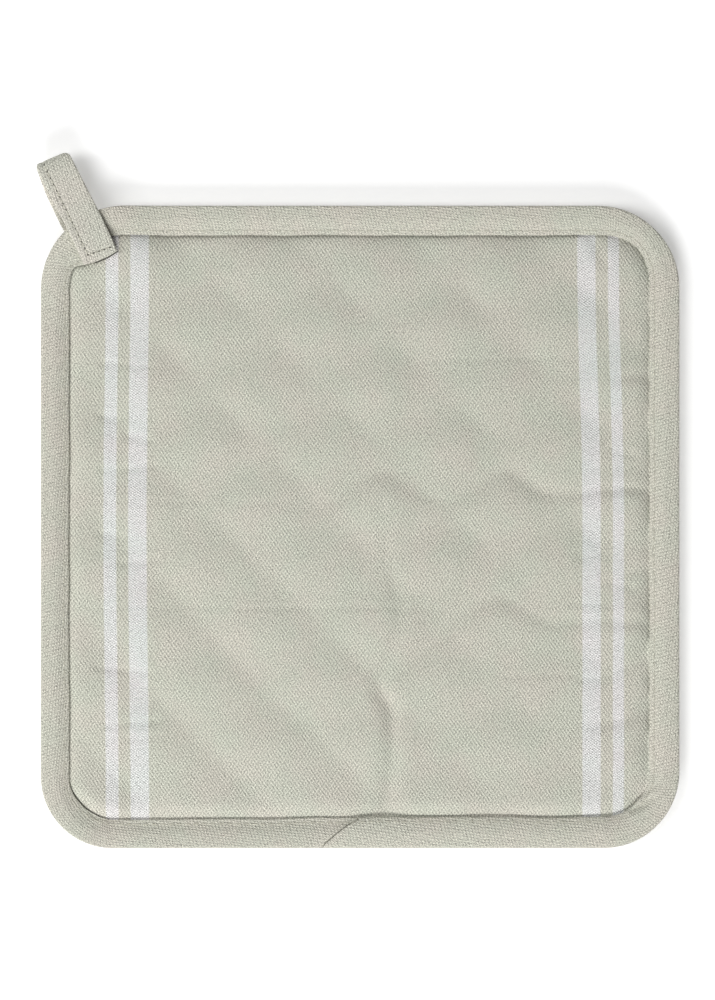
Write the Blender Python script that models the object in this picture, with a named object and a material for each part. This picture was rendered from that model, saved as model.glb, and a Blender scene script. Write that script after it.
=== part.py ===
"""Quilted pot holder: a square padded cloth, edged with folded tape, with a hanging loop.

It lies flat, face up. Metres, +Z up, +Y towards the edge that carries the loop. The origin is the
middle of the underside, on the surface that the pot holder lies on.
"""
import math

import bmesh
import bpy
from mathutils import Vector

MM = 0.001

# Outline, binding included
WIDTH = 199.2 * MM
HEIGHT = 200.4 * MM
CLEARANCE = 0.3 * MM

# Corners, anticlockwise from the lower right, in millimetres: side in X and Y, radius of the outer
# edge, and what the tape's face gains on the diagonal
CORNERS = (
    (1, -1, 23.8, 0.3),
    (1, 1, 25.5, -1.1),
    (-1, 1, 26.5, 0.0),
    (-1, -1, 22.4, 0.4),
)

# Binding: width of its face on each side
TAPE_LEFT = 8.7 * MM
TAPE_RIGHT = 9.2 * MM
TAPE_TOP = 9.1 * MM
TAPE_BOTTOM = 9.4 * MM

# Under the loop's sewn end the tape is tucked further in: by how much, and the directions between
# which that grows and fades, in degrees from the left side towards the top
TUCK = 2.9 * MM
TUCK_GROWS = (22.0, 35.0)
TUCK_FADES = (50.0, 77.0)

# Where the binding's end laps over its start, on the bottom side
LAP_RISE = 0.6 * MM           # height of the upper end's edge over the lower end
LAP_SHOULDER = 6.3 * MM       # rows above this rise upwards at the lap, and the others outwards
LAP_FADE = 24.0 * MM          # length in which that height evens out
LAP_REACH = 30.0 * MM         # stretch of tape whose rows slant towards the join
LAP_INNER_X = -0.4 * MM       # where the join's line meets the face
LAP_OUTER_X = -11.4 * MM      # where it meets the outer edge

# Quilting: seams run at 45 degrees, QUILT_PITCH apart when measured along X or Y
QUILT_PITCH = 37.2 * MM
QUILT_X = 7.05 * MM           # middle of one diamond
QUILT_Y = 6.1 * MM
QUILT_SOFTNESS = 0.22         # how rounded the seams' bottoms are
FACE_CREST = 7.95 * MM
FACE_VALLEY = 6.6 * MM
FALLING_SEAMS = 0.66          # how strong the seams that fall to the right are
SLACK_SEAMS = 0.6             # how much the rising seams fade in the lower left quarter
SLACK_SPREAD = 45.0 * MM      # width of the band in which they fade
BACK_SEAM_DEPTH = 1.0 * MM
BACK_SEAM_HALF = 2.5 * MM     # half width of a seam's channel in the back

# Hanging loop: its axis leans left; it is measured from the middle of its sewn end
LOOP_LEAN = math.radians(26.0)
LOOP_X = -80.6 * MM
LOOP_Y = 84.2 * MM
LOOP_WIDTH = 11.3 * MM
LOOP_THICK = 1.2 * MM
LIFT = LOOP_THICK + CLEARANCE  # how far the loop's lower leg lifts the corner
LIFT_HALF = 7.8 * MM           # half width of the ground that is lifted in full
LIFT_SIDE_END = 25.0 * MM      # where the lift ends to either side of the loop's axis
LIFT_START = 1.0 * MM          # full lift begins this far before the sewn end
LIFT_END = 18.0 * MM           # and the lift ends this far before it

# Fineness
SIDE_STEPS = 24
CORNER_STEPS = 8
LAP_STEP = 3.0 * MM
FACE_CUTS = 9                 # rows of facets between two seams of the face
LOOP_STEPS = 3                # sections between two rows of LOOP_PATH

# Pad's rim under the tape, from the back to the face: share of the tape's face width, further
# inset, height
PAD_RIM = (
    (1.0, 3.6, 0.00),
    (1.0, 1.7, 0.45),
    (1.0, 0.4, 1.40),
    (0.5, 0.0, 1.40),
    (0.0, 2.2, 1.95),
    (0.0, 1.5, 3.70),
    (0.0, 2.0, 5.20),
    (0.0, 3.15, 6.08),
    (0.5, 0.3, 6.33),
    (0.8, 0.0, 5.90),
    (1.0, 0.35, 5.50),
)
GROOVE_HEIGHT = 5.50 * MM

# The face swells up beside the tape: distance from the tape, share of the rise to the full face
FACE_SWELL = (
    (0.7, 0.42),
    (1.5, 0.70),
    (2.8, 0.89),
    (5.0, 1.00),
)

# Tape's section, from the inner edge over the crown to the inner edge underneath, then back along
# the inside: share of the tape's face width, further inset, height, share of the lap's rise
TAPE_SECTION = (
    (1.0, 0.0, 6.40, 1.0),
    (1.0, -0.9, 6.85, 1.0),
    (1.0, -2.1, 7.24, 1.0),
    (0.6, 0.0, 7.70, 1.0),
    (0.35, 0.0, 7.87, 1.0),
    (0.0, 1.4, 7.68, 1.0),
    (0.0, 0.5, 7.10, 0.8),
    (0.0, 0.1, 5.90, 0.4),
    (0.0, 0.0, 3.90, 0.25),
    (0.0, 0.6, 1.60, 0.2),
    (0.0, 2.2, 0.00, 0.0),
    (0.5, 0.0, 0.00, 0.0),
    (1.0, 0.0, 0.00, 0.0),
    (1.0, 0.0, 1.10, 0.0),
    (0.5, 0.0, 1.10, 0.0),
    (0.0, 2.0, 1.60, 0.0),
    (0.0, 1.1, 3.70, 0.0),
    (0.0, 1.6, 5.35, 0.0),
    (0.0, 2.9, 6.42, 0.0),
    (0.5, 0.3, 6.66, 0.0),
    (0.8, 0.0, 6.24, 0.0),
    (1.0, 0.0, 5.98, 0.0),
)

# Main creases of the face, each along a line through points: x, y, depth, in millimetres from the
# middle of the pad
CREASES = (
    ((-27.0, 8.0, 0.10), (-11.6, 6.6, 0.26), (6.6, 16.9, 0.50), (23.4, 8.6, 0.42), (30.9, 8.6, 0.42),
     (45.3, 17.8, 0.75), (57.5, 10.4, 0.85), (89.0, 12.2, 0.75)),
    ((9.5, -46.5, 0.15), (27.2, -31.3, 0.50), (44.4, -21.9, 0.80), (59.4, -30.3, 0.85),
     (89.0, -30.0, 0.60)),
    ((6.8, 8.0, 0.10), (8.4, -8.0, 0.16), (12.4, -26.5, 0.70), (7.2, -45.0, 0.45), (9.4, -57.0, 0.95),
     (8.4, -90.0, 0.60)),
)
CREASE_HALF = 2.6             # half width of a crease

# Hanging loop from its sewn end on the face, over the tip, to its sewn end on the back: distance
# along the axis, height of the tape's middle, shift to the left of the axis, all in millimetres
LOOP_PATH = (
    (0.0, 9.75, 0.35),
    (4.0, 10.20, 0.20),
    (8.0, 10.45, 0.10),
    (13.0, 10.45, 0.0),
    (19.0, 10.55, 0.0),
    (25.5, 10.95, 0.0),
    (30.0, 11.05, 0.0),
    (33.0, 10.40, 0.0),
    (33.9, 9.00, 0.0),
    (33.3, 7.50, 0.2),
    (31.0, 6.00, 0.6),
    (28.0, 4.10, 1.1),
    (25.0, 2.35, 1.5),
    (20.0, 1.05, 1.7),
    (15.0, 0.62, 1.7),
    (8.0, 0.60, 1.3),
    (0.0, 0.60, 0.8),
)
LOOP_ASLANT = 0.12            # its ends and its folded tip run a little aslant
# Half section of the loop's tape: share of half the width, share of half the thickness
LOOP_SECTION = ((1.0, 0.35), (0.93, 1.0), (0.0, 1.0))

FACE_COLOUR = (0.546, 0.546, 0.468)
BINDING_COLOUR = (0.530, 0.530, 0.456)
LOOP_COLOUR = (0.571, 0.558, 0.479)


def fade(value, full, none):
    """1 up to the first limit, easing to 0 at the second."""
    share = min(max((value - full) / (none - full), 0.0), 1.0)
    return 0.5 + 0.5 * math.cos(math.pi * share)


def loop_place(across, along, height):
    """World place of a point given across the loop (to the right), along its axis and in height."""
    right = Vector((math.cos(LOOP_LEAN), math.sin(LOOP_LEAN), 0.0))
    forward = Vector((-math.sin(LOOP_LEAN), math.cos(LOOP_LEAN), 0.0))
    return Vector((LOOP_X, LOOP_Y, height)) + right * across + forward * along


def corner_lift(x, y):
    """How far the loop's lower leg holds the pad and the tape up."""
    dx, dy = x - LOOP_X, y - LOOP_Y
    across = dx * math.cos(LOOP_LEAN) + dy * math.sin(LOOP_LEAN)
    along = dy * math.cos(LOOP_LEAN) - dx * math.sin(LOOP_LEAN)
    side = fade(abs(across), LIFT_HALF, LIFT_SIDE_END)
    return LIFT * side * fade(-along, LIFT_START, LIFT_END)


def soft_ridge(phase):
    """1 midway between two seams and 0 on a seam, with a rounded bottom."""
    wave = math.hypot(math.cos(math.pi * phase), QUILT_SOFTNESS) - QUILT_SOFTNESS
    return wave / (math.hypot(1.0, QUILT_SOFTNESS) - QUILT_SOFTNESS)


def crease_depth(x, y):
    """Depth of the deepest crease that reaches this point."""
    place = Vector((x, y)) / MM
    deepest = 0.0
    for crease in CREASES:
        for (start_x, start_y, start_depth), (end_x, end_y, end_depth) in zip(crease, crease[1:]):
            start = Vector((start_x, start_y))
            run = Vector((end_x, end_y)) - start
            share = min(max((place - start).dot(run) / run.length_squared, 0.0), 1.0)
            depth = start_depth + (end_depth - start_depth) * share
            reach = (place - start - run * share).length / CREASE_HALF
            deepest = max(deepest, depth * math.exp(-reach * reach))
    return deepest * MM


def face_height(x, y):
    """Height of the quilted face: soft diamonds between seams, less the creases."""
    falling = soft_ridge(((x - QUILT_X) + (y - QUILT_Y)) / QUILT_PITCH)
    rising = soft_ridge(((x - QUILT_X) - (y - QUILT_Y)) / QUILT_PITCH)
    lower_left = fade(x, -SLACK_SPREAD / 2, SLACK_SPREAD / 2) * fade(y, -SLACK_SPREAD / 2, SLACK_SPREAD / 2)
    rising = 1.0 - (1.0 - rising) * (1.0 - SLACK_SEAMS * lower_left)
    falling = 1.0 - (1.0 - falling) * FALLING_SEAMS
    return FACE_VALLEY + (FACE_CREST - FACE_VALLEY) * falling * rising - crease_depth(x, y)


def back_height(x, y):
    """Height of the back: flat diamonds on the surface, with a channel along each seam."""
    nearest = BACK_SEAM_HALF
    for turn in (1.0, -1.0):
        phase = ((x - QUILT_X) + turn * (y - QUILT_Y)) / QUILT_PITCH + 0.5
        distance = abs(phase - round(phase)) * QUILT_PITCH * math.sqrt(0.5)
        nearest = min(nearest, distance)
    return BACK_SEAM_DEPTH * (1.0 - nearest / BACK_SEAM_HALF)


def tape_width(normal):
    """Width of the binding's face where the outline faces this way."""
    side = TAPE_RIGHT if normal.x > 0.0 else TAPE_LEFT
    end = TAPE_TOP if normal.y > 0.0 else TAPE_BOTTOM
    gain = next(gain for side_x, side_y, _, gain in CORNERS
                if side_x * normal.x >= 0.0 and side_y * normal.y >= 0.0)
    width = side * normal.x ** 2 + end * normal.y ** 2 + gain * MM * 4.0 * (normal.x * normal.y) ** 2
    if normal.x < 0.0 < normal.y:
        turn = math.degrees(math.atan2(normal.y, -normal.x))
        width += TUCK * (1.0 - fade(turn, *TUCK_GROWS)) * fade(turn, *TUCK_FADES)
    return width


def evenly(start, end, steps):
    return [start + (end - start) * step / steps for step in range(steps + 1)]


def corner_centre(number):
    side_x, side_y, radius, _ = CORNERS[number]
    return Vector((side_x * (WIDTH / 2 - radius * MM), side_y * (HEIGHT / 2 - radius * MM)))


def bottom_ends():
    """Where the straight part of the bottom side starts and ends."""
    return corner_centre(3).x, corner_centre(0).x


def outline(bottom_stops):
    """Points round the outer edge with their outward normals, anticlockwise from the bottom side."""
    stations = [(Vector((stop, -HEIGHT / 2)), Vector((0.0, -1.0))) for stop in bottom_stops]
    straights = (Vector((1.0, 0.0)), Vector((0.0, 1.0)), Vector((-1.0, 0.0)))
    for number, (_, _, radius, _) in enumerate(CORNERS):
        centre = corner_centre(number)
        for step in range(1, CORNER_STEPS):
            angle = math.pi / 2 * (number - 1 + step / CORNER_STEPS)
            normal = Vector((math.cos(angle), math.sin(angle)))
            stations.append((centre + normal * radius * MM, normal))
        if number < len(straights):
            normal = straights[number]
            start = centre + normal * radius * MM
            end = corner_centre(number + 1) + normal * CORNERS[number + 1][2] * MM
            stations += [(start.lerp(end, share), normal) for share in evenly(0.0, 1.0, SIDE_STEPS)]
    return stations


def skin(rings, closed):
    """A bmesh with faces from ring to ring; a closed skin also joins the last ring to the first."""
    bm = bmesh.new()
    order = bm.verts.layers.int.new("order")
    verts = [bm.verts.new(place) for place in rings[0]]
    for number, vert in enumerate(verts):
        vert[order] = number
    edges = [bm.edges.new((verts[number - 1], verts[number])) for number in range(len(verts))]
    for ring in rings[1:] + (rings[:1] if closed else []):
        grown = bmesh.ops.extrude_edge_only(bm, edges=edges)["geom"]
        edges = [item for item in grown if isinstance(item, bmesh.types.BMEdge)]
        for vert in (item for item in grown if isinstance(item, bmesh.types.BMVert)):
            vert.co = ring[vert[order]]
    if closed:
        bmesh.ops.remove_doubles(bm, verts=bm.verts, dist=0.001 * MM)
    return bm


def cap(bm, height, tag):
    """Close the open ring that lies at this height and tag the new face."""
    rim = [edge for edge in bm.edges if edge.is_boundary
           and all(abs(vert.co.z - height) < 0.001 * MM for vert in edge.verts)]
    layer = bm.faces.layers.int["cap"]
    for face in bmesh.ops.edgeloop_fill(bm, edges=rim)["faces"]:
        face[layer] = tag


def seam_cuts(bm, tag, shares, region=None):
    """Cut a tagged cap along lines that run with the seams, at these shares of the pitch."""
    layer = bm.faces.layers.int["cap"]
    count = math.ceil((WIDTH + HEIGHT) / 2 / QUILT_PITCH) + 1
    for turn in (1.0, -1.0):
        across = Vector((1.0, turn, 0.0))
        for number in range(-count, count + 1):
            for share in shares:
                offset = (number + 0.5 + share) * QUILT_PITCH / 2
                centre = Vector((QUILT_X + offset, QUILT_Y + turn * offset, 0.0))
                faces = [face for face in bm.faces if face[layer] == tag
                         and (region is None or region(face.calc_center_median()))]
                parts = faces + list({item for face in faces for item in (*face.edges, *face.verts)})
                parts.sort(key=lambda item: (type(item).__name__, item.index))
                bmesh.ops.bisect_plane(
                    bm, geom=parts, dist=0.05 * MM, plane_co=centre, plane_no=across)
                bm.faces.index_update()
                bm.edges.index_update()
                bm.verts.index_update()


def finish(bm, name, colour):
    """Make the bmesh one object with its own cloth."""
    bmesh.ops.recalc_face_normals(bm, faces=bm.faces)
    bmesh.ops.triangulate(bm, faces=bm.faces, quad_method="SHORT_EDGE", ngon_method="BEAUTY")
    mesh = bpy.data.meshes.new(name)
    bm.to_mesh(mesh)
    bm.free()
    mesh.shade_smooth()
    mesh.set_sharp_from_angle(angle=math.radians(50.0))
    material = bpy.data.materials.new(name)
    material.use_nodes = True
    shader = material.node_tree.nodes["Principled BSDF"]
    shader.inputs["Base Color"].default_value = (*colour, 1.0)
    shader.inputs["Roughness"].default_value = 0.95
    shader.inputs["Metallic"].default_value = 0.0
    mesh.materials.append(material)
    item = bpy.data.objects.new(name, mesh)
    bpy.context.scene.collection.objects.link(item)
    return item


def near_loop(place):
    """True in the corner where the back is lifted."""
    return place.x < LOOP_X + LIFT_SIDE_END and place.y > LOOP_Y - LIFT_SIDE_END


def build_pad():
    """Face, wadding and back as one filled solid: a rim under the tape and two quilted caps."""
    stations = outline(evenly(*bottom_ends(), SIDE_STEPS))
    back_level = 0.0
    face_level = FACE_CREST * 2.0

    def ring(share, inset, height):
        points = []
        for edge, normal in stations:
            place = edge - normal * (share * tape_width(normal) + inset)
            points.append(Vector((*place, height(*place))))
        return points

    rings = [ring(share, inset * MM, lambda x, y, level=height: level * MM)
             for share, inset, height in PAD_RIM]
    for beyond, rise in FACE_SWELL:
        rings.append(ring(1.0, beyond * MM, lambda x, y, share=rise: GROOVE_HEIGHT + (
            face_height(x, y) - GROOVE_HEIGHT) * share))
    for place in rings[-1]:
        place.z = face_level

    bm = skin(rings, closed=False)
    bm.faces.layers.int.new("cap")
    cap(bm, back_level, tag=1)
    cap(bm, face_level, tag=2)
    half = BACK_SEAM_HALF * math.sqrt(2.0) / QUILT_PITCH
    seam_cuts(bm, 1, (-half, 0.0, half))
    seam_cuts(bm, 1, (0.25, 0.375, 0.5, 0.625, 0.75), near_loop)
    seam_cuts(bm, 2, [cut / FACE_CUTS for cut in range(FACE_CUTS)])

    for vert in bm.verts:
        if abs(vert.co.z - back_level) < 0.001 * MM:
            vert.co.z = back_height(vert.co.x, vert.co.y)
        elif abs(vert.co.z - face_level) < 0.001 * MM:
            vert.co.z = face_height(vert.co.x, vert.co.y)
        vert.co.z += corner_lift(vert.co.x, vert.co.y)
    return finish(bm, "pad", FACE_COLOUR)


def lap_stops():
    """Stations of the bottom side, close together where the tape's ends lap."""
    start, end = bottom_ends()
    middle = LAP_INNER_X
    edge_gap = 0.5 * MM
    left = evenly(start, middle - LAP_REACH, 6)
    near_left = evenly(middle - LAP_REACH, middle - edge_gap, round(LAP_REACH / LAP_STEP))
    near_right = evenly(middle, middle + LAP_REACH, round(LAP_REACH / LAP_STEP))
    right = evenly(middle + LAP_REACH, end, 6)
    return left[:-1] + near_left + near_right + right[1:]


def build_binding():
    """Tape folded round the pad's edge, its end lapped over its start along a curved slant."""
    stations = outline(lap_stops())

    def slant(edge, normal, inset):
        if normal.y > -1.0:
            return 0.0
        near = fade(abs(edge.x - LAP_INNER_X), 0.0, LAP_REACH)
        outward = 1.0 - min(inset / tape_width(normal), 1.0)
        return (LAP_OUTER_X - LAP_INNER_X) * near * outward ** 0.8

    def lap(edge, normal):
        if normal.y > -1.0 or edge.x < LAP_INNER_X - 0.1 * MM:
            return 0.0
        return LAP_RISE * fade(edge.x - LAP_INNER_X, 0.0, LAP_FADE)

    rings = []
    for share, inset, height, rise in TAPE_SECTION:
        ring = []
        for edge, normal in stations:
            depth = share * tape_width(normal) + inset * MM
            level = height * MM
            raised = rise * lap(edge, normal)
            upward = level > LAP_SHOULDER
            place = edge - normal * (depth if upward else depth - raised)
            place.x += slant(edge, normal, depth)
            level += raised if upward else 0.0
            ring.append(Vector((*place, level + corner_lift(*place))))
        rings.append(ring)
    return finish(skin(rings, closed=True), "binding", BINDING_COLOUR)


def spline(before, start, end, after, share):
    """Point on a smooth curve from start to end that heads on from before and towards after."""
    square, cube = share * share, share ** 3
    return 0.5 * (start * 2.0 + (end - before) * share
                  + (before * 2.0 - start * 5.0 + end * 4.0 - after) * square
                  + (start * 3.0 - before - end * 3.0 + after) * cube)


def loop_line():
    """Middle line of the loop's tape as (along, height, shift), from one sewn end to the other."""
    knots = [Vector(row) * MM for row in LOOP_PATH]
    knots = [knots[0] * 2.0 - knots[1]] + knots + [knots[-1] * 2.0 - knots[-2]]
    line = []
    for number in range(1, len(knots) - 2):
        for step in range(LOOP_STEPS):
            point = spline(*knots[number - 1:number + 3], step / LOOP_STEPS)
            point.y = max(point.y, LOOP_THICK / 2)
            line.append(point)
    return line + [knots[-2]]


def build_hanging_loop():
    """Tape doubled over the corner: one leg on the face, one under the pad, and a raised tip."""
    over = list(LOOP_SECTION) + [(-width, thick) for width, thick in LOOP_SECTION[-2::-1]]
    section = over + [(-width, -thick) for width, thick in over]
    line = loop_line()
    rings = []
    for number, middle in enumerate(line):
        heading = line[min(number + 1, len(line) - 1)] - line[max(number - 1, 0)]
        outward = Vector((-heading.y, heading.x)).normalized()
        ring = []
        for width, thick in section:
            offset = outward * (thick * LOOP_THICK / 2)
            across = width * LOOP_WIDTH / 2
            ring.append(loop_place(across - middle.z, middle.x + offset.x - LOOP_ASLANT * across,
                                   middle.y + offset.y))
        rings.append(ring)
    bm = skin(rings, closed=False)
    bmesh.ops.holes_fill(bm, edges=[edge for edge in bm.edges if edge.is_boundary], sides=0)
    return finish(bm, "hanging_loop", LOOP_COLOUR)


def main():
    for item in list(bpy.data.objects):
        bpy.data.objects.remove(item, do_unlink=True)
    build_pad()
    build_binding()
    build_hanging_loop()


main()
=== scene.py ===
"""Looks of a quilted pot holder: the padded cloth, its folded tape, its hanging loop and its stitches.

Laid out as an add-on: the panel in the 3D view's sidebar lists the pieces. Metres, +Z up.
"""

import math

import bmesh
import bpy
import numpy as np
from mathutils import Matrix, Vector, noise
from mathutils.bvhtree import BVHTree


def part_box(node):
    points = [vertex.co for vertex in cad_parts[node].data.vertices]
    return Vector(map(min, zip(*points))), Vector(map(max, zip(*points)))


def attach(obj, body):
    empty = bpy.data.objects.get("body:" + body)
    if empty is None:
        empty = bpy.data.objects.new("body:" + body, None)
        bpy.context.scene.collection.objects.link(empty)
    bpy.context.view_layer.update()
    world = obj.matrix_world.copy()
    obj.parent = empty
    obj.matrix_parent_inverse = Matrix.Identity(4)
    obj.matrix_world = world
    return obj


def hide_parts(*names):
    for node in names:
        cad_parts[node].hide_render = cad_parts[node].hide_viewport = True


bl_info = {
    "name": "Quilted pot holder",
    "version": (1, 0, 0),
    "blender": (4, 5, 0),
    "location": "View3D > Sidebar > Pot holder",
    "description": "Builds a quilted pot holder's cloth, tape, loop and stitches on a pale stage",
    "category": "Object",
}

MM = 0.001

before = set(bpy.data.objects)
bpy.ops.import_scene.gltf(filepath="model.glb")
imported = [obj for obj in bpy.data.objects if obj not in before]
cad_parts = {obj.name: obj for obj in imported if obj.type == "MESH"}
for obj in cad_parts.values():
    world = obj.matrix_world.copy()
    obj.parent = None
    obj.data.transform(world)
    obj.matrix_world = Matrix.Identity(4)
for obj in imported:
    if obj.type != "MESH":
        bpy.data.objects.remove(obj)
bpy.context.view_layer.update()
BODY = "root"

# Outline, read from the frame: the binding's outer edge
HALF_WIDTH, HALF_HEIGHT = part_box("binding")[1][:2]
GROOVE_HEIGHT = 5.50 * MM      # bottom of the groove between tape and face
SWELL = 5.0 * MM               # the face reaches its full height this far from the tape
LINING_TOP = 2.0 * MM          # the back's lining reaches round the rim up to here, under the tape
FACE_GRID = (232, 233)         # squares of the face's grid, across and up
BACK_GRID = (116, 117)
GRID_EASE = 25.0 * MM          # both grids follow the tape's wander from this far within the outer edge

# Corners, anticlockwise from the lower right, in millimetres: side in X and Y, radius of the outer
# edge, and what the tape's face gains on the diagonal
CORNERS = (
    (1, -1, 23.8, 0.3),
    (1, 1, 25.5, -1.1),
    (-1, 1, 26.5, 0.0),
    (-1, -1, 22.4, 0.4),
)
# Under the loop's sewn end the tape is tucked further in: by how much, and the directions between
# which that grows and fades, in degrees from the left side towards the top
TUCK = 2.9 * MM
TUCK_GROWS = (22.0, 35.0)
TUCK_FADES = (50.0, 77.0)

# Where the tape's end laps over its start, on the bottom side
LAP_X = -0.4 * MM
LAP_SLANT = -11.0 * MM         # how far the join's line runs to the left on its way to the outer edge
LAP_SLANT_BAND = (0.09, 0.92)  # shares of that way between which it does
LAP_CURVE = 0.75
LAP_RISE = 0.55 * MM           # the upper layer stands up this far, less and less as far as LAP_FADE
LAP_FADE = 24.0 * MM
LAP_REACH = 30.0 * MM          # the tape beside the join slants with it as far as this
LAP_GROOVE = 0.45 * MM         # depth of the groove along the join, and where it fades
LAP_GROOVE_FADE = (0.2 * MM, 0.7 * MM)
# Left of the lap the tape is the lower layer, and changes its width: a share of the change at the
# lap, and the rest further on
UNDER_STEP = 0.25
UNDER_STEP_SPAN = (-1.2 * MM, 0.0)
UNDER_SPAN = (-38.0 * MM, -6.0 * MM)
# The tape leans in, towards the face, by this much in all: at the top, and left of the lap. It turns
# about a line at this share of its width, and more and more between two heights in millimetres.
TOP_LEAN = 0.5 * MM
UNDER_LEAN = 1.3 * MM
UNDER_LEAN_FADE = 5.0 * MM
LEAN_LINE = 0.35
LEAN_HEIGHTS = (6.06, 7.26)
# Sections of the tape: distances in millimetres after the lap and before it, and the usual step
FIRST_STOPS = (0.0, 0.10, 0.30, 0.70, 1.20)
LAST_STOPS = (1.0, 0.55, 0.32, 0.14)
STOP_STEP = 0.70 * MM

# Hanging loop: its axis leans left, and is measured from the middle of its sewn end
LOOP_LEAN = math.radians(26.0)
LOOP_X = -80.6 * MM
LOOP_Y = 84.2 * MM
LOOP_THICK = 1.2 * MM
LIFT = LOOP_THICK + 0.3 * MM   # how far the loop's lower leg lifts the corner
LIFT_BESIDE = (7.8 * MM, 25.0 * MM)   # where that fades, beside the loop and inwards of its sewn end
LIFT_INWARDS = (1.0 * MM, 18.0 * MM)

# Face beside the tape, outwards: distance from the tape in millimetres, share of the full rise
FACE_SWELL = (
    (3.8, 0.965),
    (2.8, 0.89),
    (2.0, 0.79),
    (1.4, 0.67),
    (0.9, 0.53),
    (0.6, 0.36),
    (0.42, 0.17),
    (0.30, 0.001),
)
# The groove between the face and the tape is shallower on the right, most of all towards the lower
# corner, and wider and deeper at the bottom: where those parts start or end, and what they change
GROOVE_RIGHT = (72.0 * MM, 84.0 * MM)
GROOVE_RIGHT_END = (79.0 * MM, 86.0 * MM)
GROOVE_LOWER_RIGHT = (-74.0 * MM, -52.0 * MM)
GROOVE_BOTTOM = (-86.0 * MM, -80.0 * MM)
RIGHT_FLOOR = 0.50 * MM
RIGHT_SLOPE = -0.15 * MM
LOWER_RIGHT_FLOOR = 0.30 * MM
BOTTOM_FLOOR = -0.45 * MM
BOTTOM_SLOPE = -0.55 * MM

# Depth of the seams: those that rise to the right are full, but less in the lower left; those that
# fall are shallow, more so in the lower right and less so in the lower left. The bands say where
# those parts begin and end.
RISING_LOWER_LEFT = -0.60
FALLING_SEAMS = 0.66
FALLING_LOWER_RIGHT = -0.30
FALLING_LOWER_LEFT = 0.08
MIDDLE_BAND = (-22.0 * MM, 22.0 * MM)
LOWER_BAND = (-40.0 * MM, 0.0)
RIGHT_BAND = (0.0, 45.0 * MM)
SEAM_SOFTNESS = 0.22           # how round the bottom of a seam is
BARREL = 0.05 * MM             # each puff is raised to both sides of its middle, and lowered above and below

# Unevenness by hand and by the cloth, as noise: grain, reach, seed
SEAM_WANDER_X = (30.0 * MM, 1.2 * MM, 1.0)
SEAM_WANDER_Y = (30.0 * MM, 1.2 * MM, 2.0)
PUFF_UNEVEN = (26.0 * MM, 0.3, 3.0)
FINE_RIPPLE = (5.0 * MM, 0.045 * MM, 4.0)
WIDE_RIPPLE = (12.0 * MM, 0.08 * MM, 5.0)
CREASE_WANDER_X = (7.0 * MM, 0.5 * MM, 21.0)
CREASE_WANDER_Y = (7.0 * MM, 0.5 * MM, 22.0)
TAPE_WANDER = ((16.0 * MM, 0.30 * MM, 3.1), (4.0 * MM, 0.10 * MM, 8.7))
# The same across the tape: grain along, grain across, reach, seed
TAPE_RIPPLES = ((3.2 * MM, 9.0 * MM, 0.07 * MM, 14.0), (11.0 * MM, 14.0 * MM, 0.12 * MM, 15.0))
TAPE_RIPPLE_FADE = 2.5 * MM    # they fade out towards the outer edge from here

# Pad's rim under the tape, from the face to the back: share of the tape's face width, further
# inset and height in millimetres
PAD_RIM = (
    (0.8, 0.0, 5.88),
    (0.5, 0.3, 6.33),
    (0.0, 3.15, 6.08),
    (0.0, 2.0, 5.20),
    (0.0, 1.5, 3.70),
    (0.0, 2.2, 1.95),
    (0.5, 0.0, 1.40),
    (1.0, 0.4, 1.40),
    (1.0, 1.0, 0.95),
    (1.0, 1.7, 0.45),
    (1.0, 2.7, 0.08),
)

# Tape's section, closed, from the folded inner edge over the crown and back along the inside: share
# of the tape's face width, further inset and height in millimetres, share of the lap's rise, steps
# to the next row
TAPE_SECTION = (
    (1.0, 0.05, 6.06, 0.5, 2),
    (1.0, 0.00, 6.32, 1.0, 2),
    (1.0, -0.30, 6.58, 1.0, 2),
    (1.0, -0.80, 6.80, 1.0, 2),
    (1.0, -1.35, 6.99, 1.0, 2),
    (1.0, -2.10, 7.24, 1.0, 3),
    (0.62, 0.0, 7.62, 1.0, 3),
    (0.48, 0.0, 7.84, 1.0, 3),
    (0.32, 0.0, 7.86, 1.0, 3),
    (0.0, 0.90, 7.78, 1.0, 2),
    (0.0, 0.16, 7.54, 0.9, 2),
    (0.0, 0.00, 6.85, 0.6, 2),
    (0.0, 0.0, 5.10, 0.4, 2),
    (0.0, 0.04, 3.40, 0.2, 2),
    (0.0, 0.45, 1.70, 0.1, 2),
    (0.0, 1.30, 0.45, 0.0, 2),
    (0.0, 2.60, 0.02, 0.0, 2),
    (0.5, 0.0, 0.0, 0.0, 2),
    (0.8, 0.0, 0.0, 0.0, 1),
    (1.0, -0.35, 0.02, 0.0, 1),
    (1.0, 0.0, 0.35, 0.0, 1),
    (1.0, 0.0, 0.75, 0.0, 1),
    (1.0, -0.30, 1.07, 0.0, 1),
    (0.8, 0.0, 1.10, 0.0, 1),
    (0.5, 0.0, 1.10, 0.0, 1),
    (0.0, 2.20, 1.40, 0.0, 1),
    (0.0, 1.35, 2.40, 0.0, 1),
    (0.0, 1.10, 3.80, 0.0, 1),
    (0.0, 1.50, 5.20, 0.0, 1),
    (0.0, 2.50, 6.20, 0.0, 1),
    (0.5, 0.3, 6.66, 0.0, 1),
    (0.8, 0.0, 6.22, 0.0, 1),
    (1.0, -0.50, 5.82, 0.0, 1),
    (1.0, -0.10, 5.86, 0.0, 1),
)
TAPE_BACK = 0.5                # heights in millimetres: the tape's back lies below, its face above
TAPE_FACE = 6.3
STITCH_ROW = 1.35 * MM         # the binding's stitches, from the tape's inner edge
DIMPLE_HALF = 0.5 * MM         # half the width of their row's dimples
DIMPLE_ROW = 0.02 * MM         # depth of these all along, and what each stitch adds
DIMPLE_STITCH = 0.08 * MM
DIMPLE_BACK = 1.5              # on the back they are this many times as deep

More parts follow.
